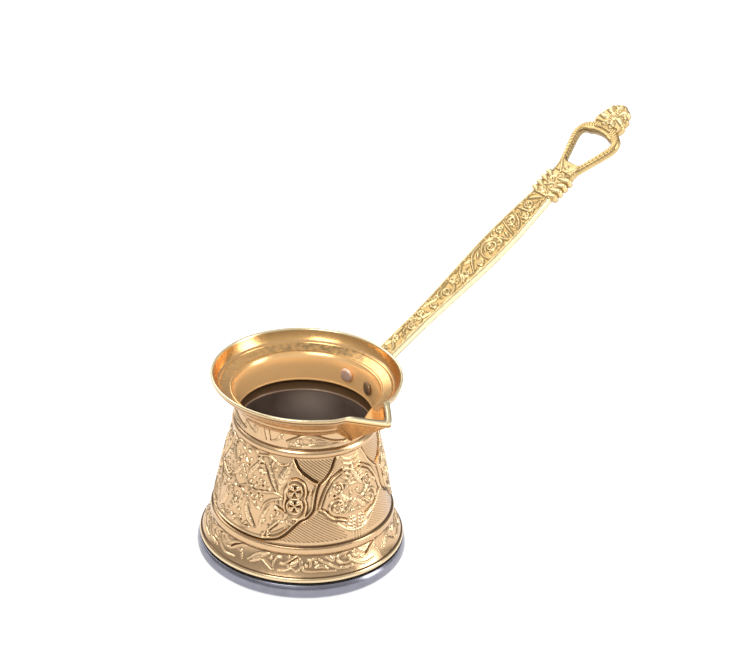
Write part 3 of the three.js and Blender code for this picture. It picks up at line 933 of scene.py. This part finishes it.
def draw_collar(sheet):
    """Scrolls between two rows of short leaves that fold over the sides."""
    for lobe in range(COLLAR_LOBES):
        s = COLLAR_START + (lobe + 0.5) * COLLAR_LOBE
        leaf = np.array([(s - 1.2, 3.2), (s - 0.3, 5), (s, 7.4)])
        vein = np.array([(s - 0.8, 3.8), (s - 0.2, 5.4), (s, 7.4)])
        gap = np.array([(s + 1.2, 4), (s + 1.5, 5.5), (s + 1.5, 7.4)])
        for flip in (1, -1), (1, 1):
            sheet.stroke(leaf * flip, [0.5, 1.2, 1.2], 0.6)
            sheet.stroke(vein * flip, 0.16, -0.25)
            sheet.stroke(gap * flip, 0.28, -0.5)
    scrolls = ((111, 1.4, 1.7, 200, 1.3), (113.6, -1.8, 1.8, 40, -1.3), (116.6, 1.5, 1.7, 160, 1.3),
               (119.4, -1.6, 1.7, 20, -1.3))
    for s, y, radius, start, turns in scrolls:
        sheet.stroke(curl((s, y), radius, start, turns), [0.55, 0.5, 0.34], 0.6)
    stems = (((108.6, -3), (110.6, -1.4), (111, 3)), ((112.6, 3.6), (114, 1), (116, -1.4), (117, -3.6)),
             ((117.6, 3.6), (118.6, 1.4), (121, 0.6)))
    sheet.strokes(stems, [0.25, 0.6, 0.25], 0.55)
    for s in (COLLAR_START - 0.6, LOOP_START + 0.8):
        sheet.line([(s, -5.4), (s, 5.4)], 0.3, -0.3)


def draw_loop(sheet):
    """Slanting cuts along the loop's two arms, and a leaf where they part."""
    arm = smooth([(125, 4.6), (128.4, 6.1), (133, 7.95), (138, 10), (141.6, 10.95), (144.4, 10.6),
                  (146.6, 8.6), (148.2, 5.4), (148.8, 2), (148.8, 0)], 6)
    along, left = directions(arm)
    for side in (-1, 1):
        flip = (1, side)
        for i in range(2, len(arm) - 1, 2):
            for turn in (-1, 1):
                end = arm[i] + 1.3 * turn * left[i] + 0.7 * along[i]
                sheet.line([arm[i] * flip, end * flip], [0.16, 0.26], -0.14)
        sheet.stroke([(121.8, 1.2 * side), (124, 2.4 * side), (127, 4.8 * side)], [0.3, 0.8, 0.4], 0.4)
        sheet.stroke([(122, 4.4 * side), (126, 5.2 * side)], [0.3, 0.5], 0.35)
    sheet.dots([(124.6, 0)], 1.2, 0.5)
    sheet.stroke([(147.5, -4), (147.9, 0), (147.5, 4)], 0.3, -0.5)


def draw_palmette(sheet):
    """A flower with a coiled heart and petals that reach the tip's lobed edge."""
    heart = np.array([155.0, 0.0])
    sheet.stroke(curl(heart, 1.9, 30, 1.4), [0.6, 0.5, 0.35], 0.8)
    for k in range(7):
        turn = -156 + 52 * k
        away = toward(turn)
        reach = 6.2 if abs(away[1]) > 0.5 else 5.2
        middle = heart + 4 * away + 0.5 * toward(turn + 90)
        points = [heart + 2.2 * away, middle, heart + reach * away]
        sheet.stroke(points, [0.6, 1.5, 1.1], 0.6)
    for side in (-1, 1):
        sheet.dots([(153.4, 6.4 * side), (157, 4.9 * side), (159.8, 2.6 * side)], 1.0, 0.7)
    sheet.stroke([(150.2, -6), (150.6, 0), (150.2, 6)], 0.4, -0.4)


def make_handle(cast):
    outline = handle_outline()
    bar = Plate([outline, loop_hole()], 0.26)
    sheet = Relief(bar.xs, bar.ys)
    draw_handle(sheet)
    fill_ground(sheet, lambda at: 13 < at[0] < COLLAR_START - 1 and abs(at[1]) < 5.2, pitch=1.9,
                height=0.4)
    pattern_edge = np.interp(sheet.across, [0, 32, 45, 60, 75, 85, 95, 105, COLLAR_START],
                             [3.2, 3.2, 3.8, 4.8, 5.6, 5.6, 5.2, 4.5, 4.1])
    from_edge = pattern_edge[None, :] - np.abs(sheet.up)[:, None]
    on_bar = (sheet.across < COLLAR_START - 0.8)[None, :]
    heights = np.where(on_bar, np.clip(from_edge / 0.5, 0, 1) * (sheet.heights() - 0.45), 0)
    sheet.raised[:] = 0
    sheet.cut[:] = 0
    draw_collar(sheet)
    draw_loop(sheet)
    draw_palmette(sheet)
    heights = (heights + sheet.heights()).T[bar.used] - 0.25 * (bar.x > COLLAR_START)
    on_loop = (bar.x > LOOP_START + 3) & (bar.x < LOOP_END)
    rounding = np.where(on_loop, 0.95, 0.45)
    casting = bar.build("handle_casting", laid_on_handle, HANDLE_TOP - 0.35, HANDLE_UNDER, heights,
                        rounding, cast)
    return unite(casting, make_foot(cast), make_web(cast))


FOOT_RADIUS = 32.2
FOOT_BOTTOM = 63.2
FOOT_TOP = 72.4
FOOT_HALF_WIDTH = 11.2
WEB_HALF_WIDTH = 3


def make_foot(cast):
    """The plate against the neck that the rivets hold."""
    half = FOOT_HALF_WIDTH
    edge = follow((0, FOOT_BOTTOM), ((half - 4, FOOT_BOTTOM), 1),
                  ((half, FOOT_BOTTOM + 0.5), (half, FOOT_BOTTOM + 5), 0.5),
                  ((half, FOOT_TOP - 0.8), 1), ((half, FOOT_TOP), (half - 0.8, FOOT_TOP), 0.3),
                  ((0, FOOT_TOP), 1))
    outline = np.vstack([edge[1:-1], (edge * (-1, 1))[::-1][1:-1]])
    plate = Plate([outline], 0.4)
    profile = outside_profile()
    neck = profile[(profile[:, 1] > NECK_BOTTOM + 0.4) & (profile[:, 1] < LIP_BOTTOM)]

    def wrapped(across, height, out):
        turn = across / FOOT_RADIUS
        inner = np.interp(height, neck[:, 1], neck[:, 0]) + 0.35
        radius = np.where(out > 0, FOOT_RADIUS - 1 + out, inner)
        return np.stack([radius * np.cos(turn), radius * np.sin(turn), height], -1)

    sheet = Relief(plate.xs, plate.ys)
    sheet.line(beside(edge, 1.1), 0.3, -0.25)
    sheet.line(beside(edge, 1.1) * (-1, 1), 0.3, -0.25)
    heights = sheet.heights().T[plate.used]
    return plate.build("foot", wrapped, 1.0, 0.0, heights, 0.5, cast)


def make_web(cast):
    """The rib under the root of the bar."""
    edge = follow((29.6, FOOT_BOTTOM + 0.8), ((31.7, FOOT_BOTTOM + 0.8), 0.5),
                  ((34.5, 70), (47, 79.4), 0.5), ((40, 76.6), 0.6), ((29.6, 70.4), 0.6))
    plate = Plate([edge], 0.35)
    half = WEB_HALF_WIDTH - rounded_off(plate.depth, 0.9)
    sides = [under_the_rim(np.stack([plate.x, side * half, plate.y], -1)) for side in (-1, 1)]
    piece = build_mesh("web", np.vstack(sides), plate.faces(), [cast])
    add_field(piece, "relief", np.zeros(2 * len(plate.x)))
    return piece


# The rivets and the base

RIVET_ANGLE = 14.5
RIVET_HEIGHT = 69.2
RIVET_HEAD = 2.9
RIVET_SHANK = 1.5


def lathe(name, outline, columns, material):
    """A closed piece turned about Z from (radius, height) points that start and end on the axis."""
    turn = 2 * math.pi * np.arange(columns) / columns
    points = around_axis(outline[:, :1], outline[:, 1:], turn)
    return build_mesh(name, points, ring_faces(len(outline), columns), [material])


def make_rivet(node, side, material):
    """A rivet from its head inside the neck to its head on the handle's foot."""
    inner = NECK_RADIUS - WALL - 0.3
    outer = FOOT_RADIUS + 0.1
    outline = follow((0, inner - 0.9), ((1.6, inner - 0.95), (2.3, inner - 0.75), 0.3),
                     ((RIVET_HEAD, inner - 0.6), (RIVET_HEAD, inner), 0.2), ((RIVET_SHANK, inner), 0.5),
                     ((RIVET_SHANK, outer), 2), ((RIVET_HEAD, outer), 0.5),
                     ((RIVET_HEAD, outer + 0.9), (0, outer + 1.0), 0.25))
    piece = lathe(node + "_turned", outline, 48, material)
    lay = Matrix.Rotation(side * math.radians(RIVET_ANGLE), 4, "Z") @ Matrix.Rotation(math.pi / 2, 4, "Y")
    piece.data.transform(Matrix.Translation((0, 0, RIVET_HEIGHT * MM)) @ lay)
    return piece


def make_cap(steel):
    """The steel cap, rolled in under the pot's widest ring, with turned rings underneath."""
    top = CAP_HEIGHT
    within = CAP_RADIUS - CAP_SHEET
    line = follow(
        (0, 0.7), ((20, 0.7), 1.5),
        ((20.6, 0.7), (20.8, 0.3), 0.2), ((21, 0), (22, 0), 0.3), ((34, 0), 1.5),
        ((34.6, 0), (34.8, 0.3), 0.2), ((35.2, 0.3), (35.4, 0), 0.2), ((39.2, 0), 0.8),
        ((40.9, 0.05), (41.8, 1.2), 0.25), ((CAP_RADIUS, 2.2), (CAP_RADIUS, 3.4), 0.3),
        ((CAP_RADIUS, 5.4), (42.1, top - 0.3), 0.3), ((42.0, top), (41.7, top), 0.15),
        ((41.3, top), (41.3, top - 0.4), 0.15), ((41.3, 5.8), (within, 4.6), 0.4),
        ((within, 2.4), (40.8, 1.4), 0.4), ((40.2, CAP_SHEET + 0.1), (38.6, CAP_SHEET + 0.1), 0.4),
        ((22, CAP_SHEET + 0.5), 3), ((0, 1.5), 4),
    )
    return lathe("cap_turned", line, 256, steel)


# Materials

class Nodes:
    """Builds a tree of shader nodes. Values that vary are sockets, and colours are (red, green,
    blue)."""

    def __init__(self, tree):
        self.tree = tree

    def feed(self, value, socket):
        """Links a socket to another, or sets a number or a colour on it."""
        if isinstance(value, bpy.types.NodeSocket):
            self.tree.links.new(value, socket)
        elif isinstance(value, tuple) and socket.type == "RGBA":
            socket.default_value = (*value, 1)
        else:
            socket.default_value = value

    def node(self, kind, output, inputs, **settings):
        """Adds a node, feeds its inputs, which go by name or by number, and gives one output."""
        node = self.tree.nodes.new("ShaderNode" + kind)
        for name, value in settings.items():
            setattr(node, name, value)
        for name, value in inputs.items():
            self.feed(value, node.inputs[name])
        return node.outputs[output]

    def place(self, space="Object"):
        return self.node("TexCoord", space, {})

    def height(self, space="Object"):
        return self.node("SeparateXYZ", "Z", {"Vector": self.place(space)})

    def measure(self, operation, point=(0, 0, 0)):
        """The length of the place's vector, or its distance to a point."""
        return self.node("VectorMath", "Value", {0: self.place(), 1: point}, operation=operation)

    def noise(self, scale, detail=3):
        """Noise in the piece's own space. Scale is in bumps to a metre."""
        return self.node("TexNoise", "Fac", {"Vector": self.place(), "Scale": scale, "Detail": detail})

    def spread(self, value, low, high, out_low, out_high):
        """Carries a value from one range to another, held at the ends."""
        return self.node("MapRange", "Result", {"Value": value, "From Min": low, "From Max": high,
                                                "To Min": out_low, "To Max": out_high})

    def times(self, a, b):
        return self.node("Math", "Value", {0: a, 1: b}, operation="MULTIPLY")

    def mix(self, amount, a, b):
        return self.node("Mix", "Result", {"Factor": amount, "A": a, "B": b}, data_type="RGBA")

    def field(self, name):
        return self.node("Attribute", "Fac", {}, attribute_name=name)


class Shader(Nodes):
    """A new material on the principled shader."""

    def __init__(self, name):
        self.material = bpy.data.materials.new(name)
        self.material.use_nodes = True
        super().__init__(self.material.node_tree)

    def set(self, name, value):
        self.feed(value, self.tree.nodes["Principled BSDF"].inputs[name])

    def bump(self, height, strength, distance):
        self.set("Normal", self.node("Bump", "Normal", {"Strength": strength, "Distance": distance,
                                                        "Height": height}))


def make_brass(name, high, low, rough, ground, top):
    """Brass that is bright where it is raised and duller in the ground, with painted shade and some patina
    in its hollows, painted light inside the neck and a painted highlight where the side field is set.
    ground and top are the relief's heights for the low and the high colour."""
    shader = Shader(name)
    tone = shader.mix(shader.spread(shader.field("relief"), ground, top, 0, 1), low, high)
    blotch = shader.spread(shader.noise(160), 0.35, 0.65, 0, 0.35)
    tone = shader.mix(blotch, tone, tuple(0.9 * c for c in low))
    # Painted light: where the inner field is set, the lighter polished colour and less metal make the
    # neck's inside look lit
    polished = shader.mix(shader.field("inner"), (0.76, 0.44, 0.17), (0.97, 0.61, 0.27))
    tone = shader.mix(shader.field("polish"), tone, polished)
    mottle = shader.spread(shader.noise(420, 4), 0.4, 0.62, 0.25, 1)
    tone = shader.mix(shader.times(mottle, shader.field("tarnish")), tone, (0.36, 0.235, 0.11))
    cut = shader.spread(shader.field("hatched"), 0.2, 0.9, 0, 0.6)
    tone = shader.mix(cut, tone, (0.34, 0.21, 0.11))
    # Painted highlight: a pale gold where the side field is set
    tone = shader.mix(shader.field("side"), tone, (0.84, 0.72, 0.46))
    # Painted shade with some patina or dirt: dark brown in the hollows and the turned grooves
    crease_shade_and_grime = shader.spread(shader.field("crease_shade_and_grime"), -0.3, -0.05, 0.92, 0)
    shader.set("Base Color", shader.mix(crease_shade_and_grime, tone, (0.10, 0.055, 0.025)))
    shader.set("Metallic", shader.spread(shader.field("inner"), 0, 1, 1, 0.3))
    shader.set("Roughness", shader.spread(shader.noise(500, 2), 0.3, 0.7, rough - 0.03, rough + 0.05))
    shader.bump(shader.noise(2600, 2), 0.03, 0.00004)
    return shader.material


def make_lining():
    """The dark inside below the neck: a band above the thin ring with painted shade, the ring with a
    painted highlight, and under them a greyer wall with a lighter spot, a painted highlight."""
    shader = Shader("dark_lining_with_painted_light")
    cloud = shader.spread(shader.noise(90), 0.3, 0.7, 0, 1)
    wall = shader.mix(cloud, (0.18, 0.135, 0.11), (0.30, 0.235, 0.20))
    # Painted highlight: a lighter spot on the wall round this point, for a soft highlight
    highlight_spot = (0.019, 0.021, 0.052)
    painted_highlight = shader.spread(shader.measure("DISTANCE", highlight_spot), 0.002, 0.015, 0.8, 0)
    wall = shader.mix(painted_highlight, wall, (0.62, 0.52, 0.46))
    ring = RING_INSIDE * MM
    # Painted highlight: a lighter colour on the thin ring at the bottom edge of the recess inside the bead
    above = shader.spread(shader.height(), ring - 0.0006, ring - 0.0003, 0, 1)
    tone = shader.mix(above, wall, (0.42, 0.30, 0.22))
    # Painted shade: dark brown on the brass above the ring, in the recess inside the bead
    shaded_band = shader.spread(shader.height(), ring + 0.0002, ring + 0.0005, 0, 1)
    shader.set("Base Color", shader.mix(shaded_band, tone, (0.10, 0.055, 0.024)))
    shader.set("Metallic", 0.3)
    shader.set("Roughness", shader.spread(shader.noise(500), 0.3, 0.7, 0.3, 0.42))
    return shader.material


def make_metal(name, metallic, tones, clouds, rough, grain, bumps):
    """A plain metal. Its colour varies between two tones and its roughness over a range, with noise
    of the scales clouds and grain. bumps holds the scale, strength and height of its bumps."""
    shader = Shader(name)
    shader.set("Metallic", metallic)
    cloud = shader.spread(shader.noise(clouds), 0.35, 0.65, 0, 1)
    shader.set("Base Color", shader.mix(cloud, *tones))
    shader.set("Roughness", shader.spread(shader.noise(grain), 0.3, 0.7, *rough))
    scale, strength, height = bumps
    shader.bump(shader.noise(scale, 2), strength, height)
    return shader.material


def make_steel():
    return make_metal("polished_steel", 1, ((0.225, 0.225, 0.27), (0.27, 0.27, 0.32)), 140,
                      (0.22, 0.28), 300, (1500, 0.02, 0.00004))


def make_aluminium():
    return make_metal("cast_aluminium", 1, ((0.52, 0.53, 0.54), (0.64, 0.65, 0.66)), 300,
                      (0.45, 0.6), 900, (1500, 0.1, 0.00005))


def make_rivet_metal(name, dark, light):
    return make_metal(name, 0.5, (dark, light), 700, (0.28, 0.42), 1200, (1800, 0.15, 0.00005))


def own(piece, node):
    """Makes a piece ride on the pot in a CAD node's place."""
    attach(piece, "root")
    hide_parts(node)


# The studio

FLOOR_HALF = 8000
CAMERA_SENSOR = 36
CAMERA_DISTANCE = 1.3       # metres
VIEW_WIDTH = 0.30785        # metres across the picture at the pot
CAMERA_LENS = CAMERA_SENSOR * CAMERA_DISTANCE / VIEW_WIDTH
CAMERA_PIVOT = (0, 0, 0.04)
CAMERA_OFFSET = (0.02968, 0.05497)    # how far right of and above the pivot the picture's middle is


def place_camera():
    elevation = math.radians(28.2)
    around = math.radians(-40.2)
    roll = math.radians(2.65)
    turn = (Matrix.Rotation(around, 4, "Z") @ Matrix.Rotation(math.pi / 2 - elevation, 4, "X")
            @ Matrix.Rotation(roll, 4, "Z"))
    data = bpy.data.cameras.new("camera")
    data.lens = CAMERA_LENS
    data.sensor_width = CAMERA_SENSOR
    data.clip_end = 20
    camera = bpy.data.objects.new("camera", data)
    camera.matrix_world = (Matrix.Translation(CAMERA_PIVOT) @ turn
                           @ Matrix.Translation((*CAMERA_OFFSET, CAMERA_DISTANCE)))
    bpy.context.scene.collection.objects.link(camera)
    bpy.context.scene.camera = camera


def area_light(name, place, size, power):
    """A light that points at the middle of the pot."""
    data = bpy.data.lights.new(name, "AREA")
    data.shape = "RECTANGLE"
    data.size, data.size_y = size
    data.energy = power
    light = bpy.data.objects.new(name, data)
    light.location = place
    light.rotation_euler = (Vector(place) - Vector((0, 0, 0.05))).to_track_quat("Z", "Y").to_euler()
    bpy.context.scene.collection.objects.link(light)


def make_world():
    """A white sky that darkens toward the horizon."""
    world = bpy.data.worlds.new("studio")
    world.use_nodes = True
    nodes = Nodes(world.node_tree)
    background = world.node_tree.nodes["Background"]
    nodes.feed((1, 1, 1), background.inputs["Color"])
    nodes.feed(nodes.spread(nodes.height("Generated"), 0.0, 0.7, 0.3, 0.85), background.inputs["Strength"])
    bpy.context.scene.world = world
    bpy.context.scene.view_settings.view_transform = "Standard"


def make_floor():
    """A pale floor whose glow fades far from the pot."""
    shader = Shader("pale_floor")
    shader.set("Base Color", (0.5, 0.5, 0.5))
    shader.set("Roughness", 0.9)
    shader.set("Specular IOR Level", 0)
    shader.set("Emission Color", (1, 1, 1))
    shader.set("Emission Strength", shader.spread(shader.measure("LENGTH"), 1.6, 6.0, 0.75, 0.0))
    corners = [(x, y, 0) for x, y in ((-1, -1), (1, -1), (1, 1), (-1, 1))]
    floor = build_mesh("floor", FLOOR_HALF * np.array(corners), [np.array([[0, 1, 2, 3]])],
                       [shader.material])


place_camera()
make_world()
make_floor()
area_light("key", (-0.9, -0.5, 1.1), (0.7, 0.7), 9)
area_light("fill", (0.9, -1.0, 0.5), (0.5, 0.9), 9)
area_light("back", (0.1, 1.2, 1.1), (1.2, 0.6), 7)
brass = make_brass("embossed_brass", (0.80, 0.575, 0.34), (0.60, 0.395, 0.22), 0.22, -0.1, 0.45)
cast = make_brass("cast_brass", (0.86, 0.65, 0.33), (0.40, 0.265, 0.105), 0.27, -0.38, 0.08)
steel = make_steel()
own(make_pot(brass, make_lining()), "pot_body")
own(make_handle(cast), "handle")
own(make_cap(steel), "base_cap")
# Painted reflection: the two alike rivets get a bright and a dark copy of one metal, for what each
# reflects
lit_rivet_metal = make_rivet_metal("rivet_painted_bright", (0.88, 0.60, 0.47), (0.96, 0.70, 0.57))
shaded_rivet_metal = make_rivet_metal("rivet_painted_dark", (0.22, 0.14, 0.08), (0.34, 0.22, 0.12))
own(make_rivet("rivet_left", 1, lit_rivet_metal), "rivet_left")
own(make_rivet("rivet_right", -1, shaded_rivet_metal), "rivet_right")
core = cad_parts["base_core"]
core.data.materials.clear()
core.data.materials.append(make_aluminium())
